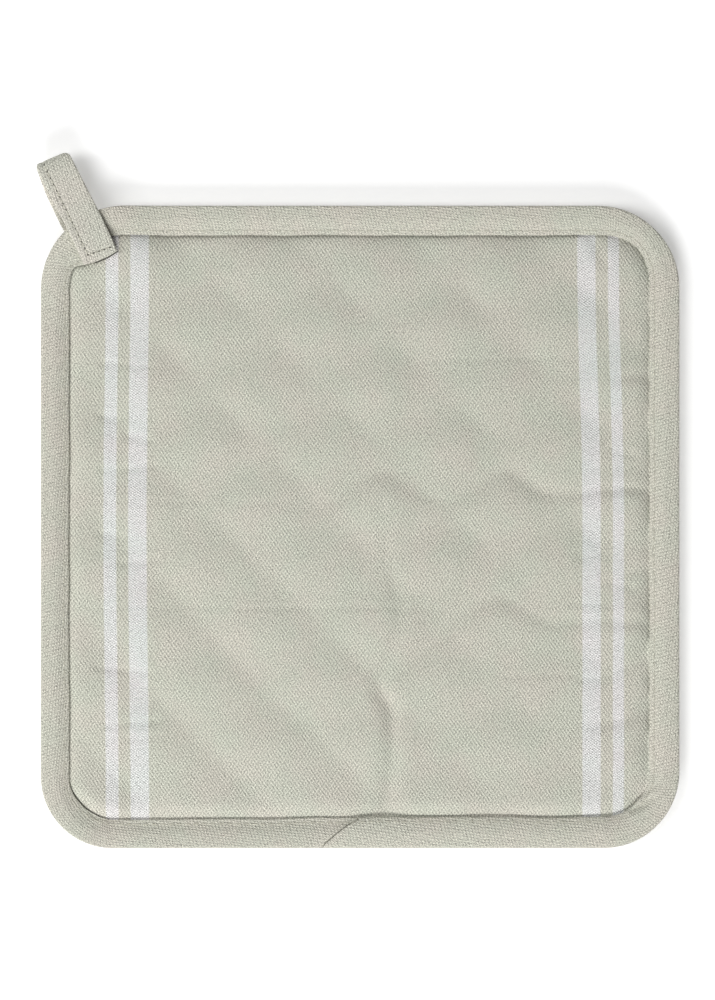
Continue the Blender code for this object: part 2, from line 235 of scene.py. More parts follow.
# Creases of the face, each along a line through points: x, y, depth, half width, in millimetres from
# the middle of the pad. Beside each stand low shoulders: how high, as a share of its depth, and how
# far out, in half widths.
SHOULDER = 0.15
SHOULDER_AWAY = 2.4
CREASES = (
    ((-27.0, 8.0, 0.10, 2.2), (-11.6, 6.6, 0.26, 2.4), (-1.2, 12.8, 0.34, 2.4), (6.6, 16.9, 0.42, 2.3),
     (14.1, 13.1, 0.30, 2.5), (23.4, 8.6, 0.30, 2.3), (30.9, 8.6, 0.30, 2.3), (38.4, 14.0, 0.32, 2.5),
     (45.3, 17.2, 0.36, 2.6), (50.9, 14.2, 0.38, 2.4), (57.5, 10.9, 0.38, 2.2), (68.7, 10.6, 0.42, 1.8),
     (76.2, 11.8, 0.45, 1.6), (89.0, 12.0, 0.60, 1.5)),
    ((9.5, -46.5, 0.15, 2.2), (17.8, -40.6, 0.40, 2.6), (27.2, -31.3, 0.46, 2.9), (34.7, -25.6, 0.46, 2.6),
     (44.4, -22.2, 0.46, 2.7), (51.9, -26.4, 0.42, 2.7), (59.4, -29.9, 0.40, 2.5), (68.7, -29.5, 0.36, 2.1),
     (76.3, -29.3, 0.36, 1.8), (89.0, -30.0, 0.55, 1.7)),
    ((6.8, 8.0, 0.10, 2.2), (8.4, -8.0, 0.16, 2.2), (10.6, -17.5, 0.38, 2.4), (12.4, -26.5, 0.42, 2.6),
     (11.0, -36.0, 0.36, 2.5), (7.2, -45.0, 0.36, 2.5), (6.7, -51.2, 0.95, 2.5), (9.4, -57.0, 1.05, 2.4),
     (10.3, -66.2, 0.80, 2.5), (9.4, -76.0, 0.70, 2.5), (8.4, -90.0, 0.55, 2.6)),
    ((-84.0, -25.6, 0.12, 0.8), (-55.0, -25.0, 0.14, 0.8), (-27.0, -25.4, 0.16, 0.8),
     (0.0, -25.0, 0.14, 0.8), (27.0, -25.8, 0.12, 0.8)),
    ((-83.0, 8.2, 0.12, 0.8), (-55.0, 7.6, 0.12, 0.8), (-27.0, 7.4, 0.10, 0.8)),
    ((-80.0, -65.6, 0.14, 0.8), (-68.0, -65.8, 0.14, 0.8), (-56.6, -65.2, 0.10, 0.8)),
    ((43.4, -46.8, 0.12, 0.8), (60.0, -46.2, 0.14, 0.8), (74.5, -46.6, 0.12, 0.8)),
    ((20.3, 52.0, 0.10, 0.8), (44.0, 52.5, 0.12, 0.8), (67.2, 52.6, 0.10, 0.8)),
    ((72.5, 90.0, 0.50, 1.6), (74.0, 86.0, 0.45, 1.6), (76.3, 82.0, 0.15, 1.5)),
    # dents across the left stripes
    ((-80.5, 51.2, 0.30, 1.0), (-65.0, 50.0, 0.20, 1.0)),
    ((-72.5, 28.6, 0.42, 1.3), (-65.0, 27.0, 0.20, 1.0)),
    ((-81.0, 35.0, 0.36, 1.2), (-75.0, 33.4, 0.16, 1.0)),
    ((-80.5, 18.0, 0.22, 0.9), (-64.0, 19.0, 0.28, 1.0)),
    ((-81.0, -1.8, 0.40, 1.2), (-73.5, -3.2, 0.18, 1.0)),
    ((-74.0, -11.6, 0.38, 1.1), (-63.0, -10.2, 0.22, 1.0)),
    ((-82.0, -43.6, 0.36, 1.1), (-66.0, -45.2, 0.26, 1.1)),
    ((-79.0, -61.8, 0.24, 1.0), (-64.0, -60.6, 0.38, 1.1)),
    # dents across the right stripes
    ((68.6, -9.4, 0.30, 1.2), (76.4, -8.0, 0.14, 1.0)),
    ((76.0, -17.0, 0.14, 1.0), (84.6, -19.0, 0.34, 1.2)),
    ((66.0, -24.2, 0.24, 0.9), (78.0, -24.4, 0.20, 0.9)),
    ((77.0, 24.0, 0.14, 1.0), (85.0, 22.6, 0.30, 1.2)),
    # short folds that run in from the right tape
    ((90.0, 47.6, 0.60, 1.8), (79.0, 46.6, 0.20, 1.5)),
    ((90.0, -12.6, 0.60, 1.9), (83.0, -15.0, 0.20, 1.6)),
    ((90.0, -38.6, 0.75, 2.2), (84.5, -43.0, 0.50, 2.0), (76.0, -47.2, 0.35, 1.8), (68.0, -48.0, 0.12, 1.5)),
    ((90.0, -54.0, 0.75, 2.2), (85.5, -58.4, 0.55, 2.0), (78.0, -61.2, 0.42, 1.8), (69.0, -61.6, 0.15, 1.5)),
    ((89.5, -66.8, 0.80, 2.4), (85.0, -69.4, 0.45, 2.1), (79.5, -70.2, 0.12, 1.8)),
)
# Small pleats in the lower corners of the tape's face, all of which lies above this height
PLEATED_ABOVE = 6.2 * MM
TAPE_CREASES = (
    ((85.0, -88.6, 0.50, 0.75), (88.2, -86.7, 1.00, 0.80), (91.0, -84.2, 0.40, 0.70)),
    ((88.4, -83.6, 0.25, 0.65), (91.6, -81.0, 0.45, 0.70), (93.6, -78.6, 0.15, 0.65)),
    ((-84.4, -88.9, 0.25, 0.65), (-79.6, -91.2, 0.50, 0.70), (-73.6, -91.3, 0.20, 0.65)),
)

# Hanging loop from its sewn end on the face, over the tip, to its sewn end on the back: distance
# along the axis, height of the tape's middle, shift to the left of the axis, all in millimetres
LOOP_PATH = (
    (0.0, 9.75, 0.35),
    (4.0, 10.20, 0.20),
    (8.0, 10.45, 0.10),
    (13.0, 10.45, 0.10),
    (19.0, 10.55, 0.20),
    (25.5, 10.95, 0.30),
    (30.0, 11.05, 0.40),
    (33.0, 10.40, 0.45),
    (33.9, 9.00, 0.45),
    (33.3, 7.50, 0.60),
    (31.0, 6.00, 0.90),
    (28.0, 4.10, 1.30),
    (25.0, 2.35, 1.60),
    (20.0, 1.05, 1.75),
    (15.0, 0.62, 1.7),
    (8.0, 0.60, 1.3),
    (0.0, 0.60, 0.8),
)
LOOP_ASLANT = (0.10, 0.05)     # its ends and its folded tip run a little aslant
LOOP_ROUNDED = 32.3 * MM       # the tip's corners are rounded from here on, over the length below
LOOP_ROUNDED_LENGTH = 2.2 * MM
LOOP_ROUNDING = (0.8 * MM, 1.4 * MM)   # how far the left and the right corner draw in
LOOP_BULGE = 0.9 * MM          # how far its sewn end curves out, and over which length that fades
LOOP_BULGE_FADE = 4.0 * MM
LOOP_BULGE_MIDDLE = -1.2       # place across and half width of that curve, in millimetres
LOOP_BULGE_HALF = 6.85
LOOP_BLUNT = 0.35              # its sewn end thins by this share over the length below
LOOP_BLUNT_LENGTH = 0.5 * MM
LOOP_HALF = 5.65
# Upper half of the loop's section: place across in millimetres to the right, share of half the
# thickness. The lower half mirrors it. The folded edges meet on the left, with a groove between them.
LOOP_UPPER_HALF = (
    (5.60, 0.50), (5.30, 0.86), (4.60, 1.0), (2.6, 1.0), (0.0, 1.0), (-1.8, 1.0), (-2.7, 0.93),
    (-3.3, 0.70), (-3.9, 0.92), (-4.7, 1.0), (-5.35, 0.86), (-5.62, 0.46), (-5.50, 0.06),
)
LOOP_SECTION = (
    (LOOP_HALF, 0.0), *LOOP_UPPER_HALF,
    (-5.30, 0.0), *((across, -share) for across, share in reversed(LOOP_UPPER_HALF)),
)

# Stitches: the share of a stitch's length over which its thread shows
STITCH_SHOWS = (0.10, 0.88)
STITCH_STEEP = 0.8 * MM        # where its ends lie further apart in height, none is made
BACK_STITCH = 2.9 * MM         # length of the quilting's stitches, with the gap
STITCH_ROOM = 1.6 * MM         # the quilting ends this far from the tape
HOLE_THICK = 0.06 * MM         # half the thickness of the dark marks that paint the shade in a hole
# Rows of the loop's stitches, on its upper leg, its lower leg and across it: first place and step,
# both across and along in millimetres, and how many places
LOOP_ROWS = (
    ((-3.4, 2.4), (0.0, 2.2), 15),
    ((-4.7, 2.2), (0.0, 2.2), 12),
    ((-3.3, 2.2), (1.75, -0.22), 5),
)
# Dark marks of painted shade in the needle's holes, half length and half width: beside the loop's edge,
# across it, and of the painted shadow at its end
HOLES_EDGE = (0.50 * MM, 0.24 * MM)
HOLES_ACROSS = (0.60 * MM, 0.24 * MM)
HOLES_END = (0.44 * MM, 0.22 * MM)
# Painted shadow under the loop's sewn end, as a row of dark marks: places across in millimetres, and how far
# off the end they lie
END_PLACES = [-1.8 + 0.6 * number for number in range(13)]
END_OFF = 0.18 * MM

# White stripes of the face: left edge, right edge, in millimetres from the middle of the pad
STRIPES = (
    (-80.0, -76.1),
    (-72.3, -66.6),
    (69.4, 75.0),
    (78.9, 82.3),
)
STRIPE_EDGE = (0.15, 0.2)      # a stripe's edge fades from this far within to this far outside it
# As the cloth was laid, the left stripes bow and the right ones lean, in millimetres, over these
# spans up the pad. Across it both fade towards the other side.
STRIPE_BOW = 0.75
STRIPE_BOW_SPAN = (0.0, 88.0 * MM)
STRIPE_LEAN = 1.6
STRIPE_LEAN_SPAN = (4.0 * MM, 82.0 * MM)
STRIPE_SIDE = (-60.0 * MM, 20.0 * MM)

# Twill of the face and hatch of its stripes: waves for each millimetre across and up
TWILL_MAIN = (0.874, 0.618)
TWILL_CROSS = (0.864, -0.608)
HATCH_MAIN = (0.886, 1.206)
HATCH_CROSS = (0.886, -1.206)
# Plain weave of the tape, cut a little off its threads: waves for each millimetre along and across
TAPE_WEFT = (0.955, -0.28)
TAPE_WARP = (0.14, -1.14)
# Plain weave of the lining
LINING_WEFT = (1.7, 0.0)
LINING_WARP = (0.0, 1.7)
WARP_STRENGTH = 0.95           # in both, as a share of the weft's
# How far threads stray, in lumps: grain and reach in millimetres
TWILL_STRAY = (12.0, 0.5)
PLAIN_STRAY = (9.0, 0.5)
STRIPE_FUZZ = (0.6, 0.7)
# Strength of ribs, cross ribs, hatch and knots, from patch to patch
PATCH_GRAIN = 1.0
PATCH_BAND = (0.3, 0.7)        # the noise between which it goes from the first to the second
RIB_PATCHES = (-0.3, 2.4)
PICK_PATCHES = (1.9, -0.3)
HATCH_PATCHES = (0.3, 1.7)
KNOT_PATCHES = (0.0, 2.1)
# Contrast of raised threads, of single threads and of slubs
TWILL_YARN = (0.122, 3.1, 0.04)
PLAIN_YARN = (0.098, 3.0, 0.05)
# Lumps for each millimetre: single threads, slubs and the dye's drift. This goes from cool to warm
# over a band of the noise, and shifts the colour by a share of WARM_SHIFT.
SPECK_SCALE = 3.6
SLUB_SCALE = 0.6
DRIFT_SCALE = 0.07
DRIFT_BAND = (0.35, 0.65)
DRIFT_RANGE = (-0.4, 0.8)
WARM_SHIFT = (0.040, -0.004, 0.014)
# Relief of the weaves and of the thread's twist
FACE_RELIEF = 0.045 * MM
LINING_RELIEF = 0.03 * MM
TAPE_RELIEF = 0.05 * MM
THREAD_RELIEF = 0.05 * MM
THREAD_TWIST = 0.4 * MM
THREAD_SHADE = (0.25, 0.87)    # how much the twist lightens the thread, and from what

# Camera straight above: one pixel of the photograph is PIXEL at TRUE_HEIGHT, half way up the pad
PHOTO_HEIGHT = 1000
PIXEL = MM / 3.2
CAMERA_HEIGHT = 1.6
CAMERA_X = -0.8 * MM
CAMERA_Y = 8.4 * MM
TRUE_HEIGHT = 4.0 * MM

# Light: a soft box beyond the lower side and a long one beyond the left, by place, sizes and watts
LIGHTS = (
    ("window_low", (-0.18, -1.43, 1.22), 0.9, 0.9, 23.4),
    ("window_high", (-0.98, 0.0, 1.36), 0.5, 1.5, 16.9),
)
ROOM_LIGHT = 0.20
FLOOR_GLOW = 0.335


def linear(code):
    """Linear colour with alpha from an sRGB hex value."""
    channels = [int(code[start:start + 2], 16) / 255 for start in (0, 2, 4)]
    return (*[value / 12.92 if value <= 0.04045 else ((value + 0.055) / 1.055) ** 2.4
              for value in channels], 1.0)


def length(name, description, default):
    return bpy.props.FloatProperty(
        name=name, description=description, default=default * MM, unit="LENGTH", precision=5)


def colour(name, description, code):
    return bpy.props.FloatVectorProperty(
        name=name, description=description, default=linear(code), size=4, subtype="COLOR", min=0.0, max=1.0)


class PotHolderSizes(bpy.types.PropertyGroup):
    tape_left: length("Tape left", "Width of the binding's face on the left side", 8.7)
    tape_right: length("Tape right", "Width of the binding's face on the right side", 9.2)
    tape_top: length("Tape top", "Width of the binding's face on the top side", 9.1)
    tape_bottom: length("Tape bottom", "Width of the binding's face on the bottom side", 9.6)
    tape_under: length("Tape under", "Width of its face left of the lap, where it is the lower layer", 8.8)
    quilt_pitch: length("Quilting pitch", "Distance between seams, measured along X or Y", 37.2)
    quilt_x: length("Quilting X", "Middle of one diamond, across", 7.05)
    quilt_y: length("Quilting Y", "Middle of one diamond, up", 6.1)
    crest: length("Crest", "Height of the face in the middle of a diamond", 7.95)
    valley: length("Valley", "Height of the face on a seam", 6.6)
    back_seam_depth: length("Back seam depth", "Depth of the seams' channels in the back", 1.0)
    back_seam_half: length("Back seam half width", "Half the width of those channels", 3.4)
    stitch: length("Stitch", "Length of one stitch and the gap after it", 2.6)
    thread: length("Thread", "Thickness of the sewing thread", 0.34)


class PotHolderColours(bpy.types.PropertyGroup):
    face: colour("Face", "Ground of the face cloth", "C4C4B7")
    stripe: colour("Stripe", "Woven stripes of the face cloth", "DADBD8")
    tape: colour("Tape", "Binding tape", "C8C7BA")
    loop: colour("Loop", "Tape of the hanging loop", "CAC9BD")
    thread: colour("Thread", "Sewing thread", "BDBBAD")
    # Hole is painted shade: the dark of the needle holes and of the crevice under the loop's sewn end
    hole: colour("Hole", "Thread in the shade of the needle holes", "5C5B53")
    floor: colour("Floor", "Surface that the pot holder lies on", "F4F4F4")


# Shapes ---------------------------------------------------------------------------------------------

def sizes():
    return bpy.context.scene.pot_holder_sizes


def colours():
    return bpy.context.scene.pot_holder_colours


def fade(value, full, none):
    """1 up to the first limit, easing to 0 at the second; takes numbers or arrays."""
    share = np.clip((value - full) / (none - full), 0.0, 1.0)
    return 0.5 + 0.5 * np.cos(np.pi * share)


def share_between(value, low, high):
    """0 up to the first limit, rising evenly to 1 at the second."""
    return min(max((value - low) / (high - low), 0.0), 1.0)


def wobble(x, y, grain, reach, seed):
    """Smooth noise to both sides of 0, with lumps about a grain wide, for arrays of places."""
    return reach * np.array([noise.noise((px / grain, py / grain, seed)) for px, py in zip(x, y)])


def corner_lift(x, y):
    """How far the loop's lower leg holds the pad and the tape up."""
    dx, dy = x - LOOP_X, y - LOOP_Y
    across = dx * math.cos(LOOP_LEAN) + dy * math.sin(LOOP_LEAN)
    along = dy * math.cos(LOOP_LEAN) - dx * math.sin(LOOP_LEAN)
    return LIFT * fade(abs(across), *LIFT_BESIDE) * fade(-along, *LIFT_INWARDS)


def corner_of(x, y):
    """Radius of the outer edge and gain of the tape's width at the corner on this side."""
    return next((radius * MM, gain * MM) for side_x, side_y, radius, gain in CORNERS
                if side_x * x >= 0.0 and side_y * y >= 0.0)


def tape_width_mean(edge, normal):
    """Width of the binding's face on each side, and between them at the corners."""
    size = sizes()
    side = size.tape_right if normal.x > 0.0 else size.tape_left
    step = UNDER_STEP * fade(edge.x - LAP_X, *UNDER_STEP_SPAN)
    lower_layer = float(step + (1.0 - UNDER_STEP) * fade(edge.x, *UNDER_SPAN))
    bottom = size.tape_bottom + (size.tape_under - size.tape_bottom) * lower_layer
    end = size.tape_top if normal.y > 0.0 else bottom
    gain = corner_of(normal.x, normal.y)[1] * 4.0 * (normal.x * normal.y) ** 2
    if normal.x < 0.0 < normal.y:
        turn = math.degrees(math.atan2(normal.y, -normal.x))
        gain += TUCK * float((1.0 - fade(turn, *TUCK_GROWS)) * fade(turn, *TUCK_FADES))
    return side * normal.x ** 2 + end * normal.y ** 2 + gain


def tape_width(edge, normal):
    """The same with the small wander of the sewing."""
    return tape_width_mean(edge, normal) + sum(
        reach * noise.noise((edge.x / grain, edge.y / grain, seed)) for grain, reach, seed in TAPE_WANDER)


def outline_runs():
    """Straights and corners of the outer edge, anticlockwise from the lap: length and place."""
    runs = []

    def straight(start, end):
        heading = (end - start).normalized()
        normal = Vector((heading.y, -heading.x))
        runs.append(((end - start).length, lambda run: (start + heading * run, normal)))

    def corner(centre, radius, turned):
        def place(run):
            angle = turned + run / radius
            normal = Vector((math.cos(angle), math.sin(angle)))
            return centre + normal * radius, normal
        runs.append((radius * math.pi / 2, place))
        return place(radius * math.pi / 2)[0]

    lap = Vector((LAP_X, -HALF_HEIGHT))
    reached = lap
    for number, (side_x, side_y, radius, _) in enumerate(CORNERS):
        radius *= MM
        turned = math.pi / 2 * (number - 1)
        centre = Vector((side_x * (HALF_WIDTH - radius), side_y * (HALF_HEIGHT - radius)))
        straight(reached, centre + Vector((math.cos(turned), math.sin(turned))) * radius)
        reached = corner(centre, radius, turned)
    straight(reached, lap)
    return runs


def outline_at(runs, run):
    """Point of the outer edge and its outward normal, this far round from the lap."""
    for reach, place in runs:
        if run <= reach:
            return place(run)
        run -= reach
    reach, place = runs[-1]
    return place(reach)


def grow(bm, edges, place):
    """Extrude a ring of edges and put its new points where place says; returns the new ring."""
    grown = bmesh.ops.extrude_edge_only(bm, edges=edges)["geom"]
    for vert in (item for item in grown if isinstance(item, bmesh.types.BMVert)):
        vert.co = place(vert)
    return [item for item in grown if isinstance(item, bmesh.types.BMEdge)]


def curve_through(points, steps, closed):
    """Smooth curve through rows of numbers, with so many steps after each row."""
    count = len(points)
    points = [np.array(point, dtype=float) for point in points]
    last = count if closed else count - 1
    found = []
    for number in range(last):
        start, end = points[number], points[(number + 1) % count]
        before = points[number - 1] if closed or number else start * 2 - end
        after = points[(number + 2) % count] if closed or number + 2 < count else end * 2 - start
        for step in range(steps[number]):
            share = step / steps[number]
            found.append(0.5 * (start * 2 + (end - before) * share
                                + (before * 2 - start * 5 + end * 4 - after) * share ** 2
                                + (start * 3 - before - end * 3 + after) * share ** 3))
    return found if closed else found + [points[-1]]


def swept(count, rows):
    """Sweep a closed ring of so many points through rows. Each row is a function that gives, from a
    point's number, its place in the world and on its cloth, along and across in millimetres."""
    bm = bmesh.new()
    order = bm.verts.layers.int.new("order")
    across = bm.verts.layers.float.new("across")
    along = bm.verts.layers.float.new("along")
    verts = [bm.verts.new() for _ in range(count)]
    ring = [bm.edges.new((verts[number - 1], verts[number])) for number in range(count)]
    for number, vert in enumerate(verts):
        vert[order] = number
    for row_number, row in enumerate(rows):
        def place(vert):
            spot, vert[along], vert[across] = row(vert[order])
            return spot

        if row_number:
            ring = grow(bm, ring, place)
        else:
            for vert in verts:
                vert.co = place(vert)
    return bm


def tape_object(bm, name, cloth, base):
    """Make a swept bmesh a tape of the named cloth, in its base colour."""
    tape = add_object(bm, name, [tape_cloth(cloth, base)])
    u, v = take_layer(tape.data, "along"), take_layer(tape.data, "across")
    tape.data.attributes.remove(tape.data.attributes["order"])
    set_weave_map(tape.data, u, v)
    return tape


def link_object(name, data):
    """Put the data into the scene as an object."""
    item = bpy.data.objects.new(name, data)
    bpy.context.scene.collection.objects.link(item)
    return item


def add_object(bm, name, materials, smooth=True):
    """Make the bmesh an object, with its faces pointing out."""
    bmesh.ops.recalc_face_normals(bm, faces=bm.faces)
    mesh = bpy.data.meshes.new(name)
    bm.to_mesh(mesh)
    bm.free()
    if smooth:
        mesh.shade_smooth()
    for material in materials:
        mesh.materials.append(material)
    return link_object(name, mesh)


def take_layer(mesh, name):
    """Read a number kept for each point, and drop it from the mesh."""
    values = np.zeros(len(mesh.vertices), dtype=np.float32)
    mesh.attributes[name].data.foreach_get("value", values)
    mesh.attributes.remove(mesh.attributes[name])
    return values


def points_of(mesh):
    """Places of all points, one row each."""
    places = np.zeros(len(mesh.vertices) * 3, dtype=np.float32)
    mesh.vertices.foreach_get("co", places)
    return places.reshape(-1, 3)


def set_points(mesh, places):
    mesh.vertices.foreach_set("co", np.asarray(places, dtype=np.float32).ravel())
    mesh.update()


def set_weave_map(mesh, u, v):
    """Write the cloth's own place of each point, in millimetres, to the UV map Weave."""
    layer = mesh.uv_layers.new(name="Weave")
    corners = np.zeros(len(mesh.loops), dtype=np.int32)
    mesh.loops.foreach_get("vertex_index", corners)
    layer.data.foreach_set("uv", np.column_stack((u[corners], v[corners])).astype(np.float32).ravel())


# Pad ------------------------------------------------------------------------------------------------

def soft_ridge(phase):
    """1 midway between two seams and 0 on a seam, with a rounded bottom."""
    wave = np.hypot(np.cos(np.pi * phase), SEAM_SOFTNESS) - SEAM_SOFTNESS
    return wave / (math.hypot(1.0, SEAM_SOFTNESS) - SEAM_SOFTNESS)


def crease_depth(creases, x, y):
    """Depth of the creases at each place: a soft fold with low shoulders beside it. Their lines
    wander a little, as creases do."""
    x = (x + wobble(x, y, *CREASE_WANDER_X)) / MM
    y = (y + wobble(x * MM, y, *CREASE_WANDER_Y)) / MM
    total = np.zeros_like(x)
    for crease in creases:
        line = curve_through(crease, [4] * len(crease), closed=False)
        nearest = np.full_like(x, np.inf)
        deep = np.zeros_like(x)
        for start, end in zip(line, line[1:]):
            run_x, run_y = end[:2] - start[:2]
            share = np.clip(((x - start[0]) * run_x + (y - start[1]) * run_y) / (run_x ** 2 + run_y ** 2),
                            0.0, 1.0)
            depth = start[2] + (end[2] - start[2]) * share
            half = start[3] + (end[3] - start[3]) * share
            away = np.hypot(x - start[0] - run_x * share, y - start[1] - run_y * share) / half
            closer = away < nearest
            nearest = np.where(closer, away, nearest)
            deep = np.where(closer, depth, deep)
        total += deep * (np.exp(-nearest ** 2) - SHOULDER * np.exp(-(nearest - SHOULDER_AWAY) ** 2))
    return total * MM


def face_height(x, y):
    """Height of the quilted face: soft uneven diamonds between seams, less the creases."""
    size = sizes()
    seam_x = x - size.quilt_x + wobble(x, y, *SEAM_WANDER_X)
    seam_y = y - size.quilt_y + wobble(x, y, *SEAM_WANDER_Y)
    left, lower, right = fade(x, *MIDDLE_BAND), fade(y, *LOWER_BAND), 1.0 - fade(x, *RIGHT_BAND)
    rising_depth = 1.0 + RISING_LOWER_LEFT * left * fade(y, *MIDDLE_BAND)
    falling_depth = FALLING_SEAMS + (FALLING_LOWER_RIGHT * right + FALLING_LOWER_LEFT * left) * lower
    rising = 1.0 - rising_depth * (1.0 - soft_ridge((seam_x - seam_y) / size.quilt_pitch))
    falling = 1.0 - falling_depth * (1.0 - soft_ridge((seam_x + seam_y) / size.quilt_pitch))
    puff = (size.crest - size.valley) * (1.0 + wobble(x, y, *PUFF_UNEVEN))
    barrel = BARREL * (np.cos(4 * np.pi * seam_y / size.quilt_pitch)
                       - np.cos(4 * np.pi * seam_x / size.quilt_pitch))
    ripple = wobble(x, y, *FINE_RIPPLE) + wobble(x, y, *WIDE_RIPPLE)
    return size.valley + puff * falling * rising + barrel + ripple - crease_depth(CREASES, x, y)


def back_height(x, y):
    """Height of the back: flat where it rests, drawn up in a soft channel along each seam."""
    size = sizes()
    nearest = np.full_like(x, size.back_seam_half)
    for turn in (1.0, -1.0):
        phase = ((x - size.quilt_x) + turn * (y - size.quilt_y)) / size.quilt_pitch + 0.5
        distance = np.abs(phase - np.round(phase)) * size.quilt_pitch * math.sqrt(0.5)
        nearest = np.minimum(nearest, distance)
    return size.back_seam_depth * fade(nearest, 0.0, size.back_seam_half)


def pad_plan(gx, gy, inset):
    """Place in plan of a point of a square grid from -1 to 1, with the corners rounded, and the
    outer edge and normal that it faces."""
    size = sizes()
    left, right = HALF_WIDTH - size.tape_left - inset, HALF_WIDTH - size.tape_right - inset
    low, high = HALF_HEIGHT - size.tape_under - inset, HALF_HEIGHT - size.tape_top - inset
    x = -left + (left + right) * (gx + 1.0) / 2
    y = -low + (low + high) * (gy + 1.0) / 2
    side_x, side_y = math.copysign(1.0, x), math.copysign(1.0, y)
    half_x, half_y = (right if x > 0 else left), (high if y > 0 else low)
    radius = corner_of(x, y)[0]
    core_x, core_y = HALF_WIDTH - radius, HALF_HEIGHT - radius
    beyond_x = (abs(x) - core_x) / (half_x - core_x)
    beyond_y = (abs(y) - core_y) / (half_y - core_y)
    if beyond_x > 0 and beyond_y > 0:
        reach = max(beyond_x, beyond_y)
        turn = math.pi / 4 * beyond_y / beyond_x if beyond_x >= beyond_y else (
            math.pi / 2 - math.pi / 4 * beyond_x / beyond_y)
        normal = Vector((math.cos(turn) * side_x, math.sin(turn) * side_y))
        centre = Vector((core_x * side_x, core_y * side_y))
        edge = centre + normal * radius
        ring = radius - tape_width(edge, normal) - inset
        return centre + normal * ring * reach, edge, normal
    if abs(gx) > abs(gy):
        edge, normal = Vector((HALF_WIDTH * side_x, y)), Vector((side_x, 0.0))
    else:
        edge, normal = Vector((x, HALF_HEIGHT * side_y)), Vector((0.0, side_y))
    inner = HALF_WIDTH - GRID_EASE
    reach = max((abs(x) - inner) / (half_x - inner), (abs(y) - inner) / (half_y - inner), 0.0)
    mean = (size.tape_right if side_x > 0 else size.tape_left) if normal.x else (
        size.tape_top if side_y > 0 else size.tape_under)
    return Vector((x, y)) - normal * (tape_width(edge, normal) - mean) * reach, edge, normal


def pad_cap(bm, across, up, inset, height, station):
    """Add a grid whose border faces the tape; returns its points, its border's edges and, for each
    point of the border, the outer edge, normal and tape's width that it faces."""
    points = bmesh.ops.create_grid(bm, x_segments=across, y_segments=up, size=1.0)["verts"]
    stations = []
    for vert in points:
        gx, gy = vert.co.x, vert.co.y
        place, edge, normal = pad_plan(gx, gy, inset)
        vert.co = (*place, height)
        if max(abs(gx), abs(gy)) > 1.0 - 1e-6:
            vert[station] = len(stations)
            stations.append((edge, normal, tape_width(edge, normal)))
    border = dict.fromkeys(edge for vert in points for edge in vert.link_edges if edge.is_boundary)
    return points, list(border), stations


def build_pad_mesh():
    """Face, rim under the tape and back as one closed filled form."""
    bm = bmesh.new()
    station = bm.verts.layers.int.new("station")
    rise = bm.verts.layers.float.new("rise")
    dip = bm.verts.layers.float.new("dip")
    points, ring, stations = pad_cap(bm, *FACE_GRID, SWELL, GROOVE_HEIGHT, station)
    for vert in points:
        vert[rise] = 1.0

    def row_place(share, inset, height, risen):
        def place(vert):
            edge, normal, width = stations[vert[station]]
            vert[rise] = risen
            return Vector((*(edge - normal * (share * width + inset * MM)), height))
        return place

    for beyond, risen in FACE_SWELL:
        ring = grow(bm, ring, row_place(1.0, beyond, GROOVE_HEIGHT, risen))
    for share, inset, height in PAD_RIM:
        ring = grow(bm, ring, row_place(share, inset, height * MM, 0.0))
    points, border, _ = pad_cap(bm, *BACK_GRID, SWELL, 0.0, station)
    for vert in points:
        vert[dip] = 1.0
    bmesh.ops.bridge_loops(bm, edges=ring + border)
    for face in bm.faces:
        face.material_index = int(max(vert.co.z for vert in face.verts) < LINING_TOP)
    return bm


def cloth_place(x, y):
    """The face cloth's own place, in millimetres: its left stripes bow a little to the left, and its
    right ones lean to the left on their way up, as the cloth was laid."""
    bow = STRIPE_BOW * (1.0 - fade(np.abs(y), *STRIPE_BOW_SPAN)) * fade(x, *STRIPE_SIDE)
    lean = STRIPE_LEAN * (1.0 - fade(y, *STRIPE_LEAN_SPAN)) * fade(-x, *STRIPE_SIDE)
    return x / MM - bow + lean, y / MM


class POTHOLDER_OT_pad(bpy.types.Operator):
    """Build the quilted pad: face cloth, filling and back"""
    bl_idname = "pot_holder.pad"
    bl_label = "Quilted pad"

    def execute(self, context):
        pad = add_object(build_pad_mesh(), "quilted_pad", [face_cloth(), back_cloth()])
        mesh = pad.data
        places = points_of(mesh)
        x, y = places[:, 0].astype(float), places[:, 1].astype(float)
        rise, dip = take_layer(mesh, "rise"), take_layer(mesh, "dip")
        mesh.attributes.remove(mesh.attributes["station"])
        top = rise > 0.0
        height = places[:, 2].astype(float)
        height[top] += rise[top] * (face_height(x[top], y[top]) - GROOVE_HEIGHT)
        height[top] += self.beside_tape(x[top], y[top], rise[top])
        height += dip * back_height(x, y) + corner_lift(x, y)
        set_points(mesh, np.column_stack((x, y, height)))
        set_weave_map(mesh, *cloth_place(x, y))
        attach(pad, BODY)
        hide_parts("pad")
        return {"FINISHED"}

    @staticmethod
    def beside_tape(x, y, rise):
        """What the groove beside the tape gains in height on the right and at the bottom."""
        right = (1.0 - fade(x, *GROOVE_RIGHT)) * fade(-y, *GROOVE_RIGHT_END)
        bottom = fade(y, *GROOVE_BOTTOM) * (1.0 - right)
        slope = 4.0 * rise * (1.0 - rise)
        lowest = (1.0 - rise) ** 2
        right_floor = RIGHT_FLOOR + LOWER_RIGHT_FLOOR * fade(y, *GROOVE_LOWER_RIGHT)
        return (right * (right_floor * lowest + RIGHT_SLOPE * slope)
                + bottom * (BOTTOM_FLOOR * lowest + BOTTOM_SLOPE * slope))


# Binding --------------------------------------------------------------------------------------------

def binding_stops(total):
    """Distances round from the lap of the tape's sections, close together beside the lap."""
    near = [stop * MM for stop in FIRST_STOPS]
    ends = [total - stop * MM for stop in LAST_STOPS]
    count = round((ends[0] - near[-1]) / STOP_STEP)
    between = [near[-1] + (ends[0] - near[-1]) * step / count for step in range(1, count)]
    return near + between + ends


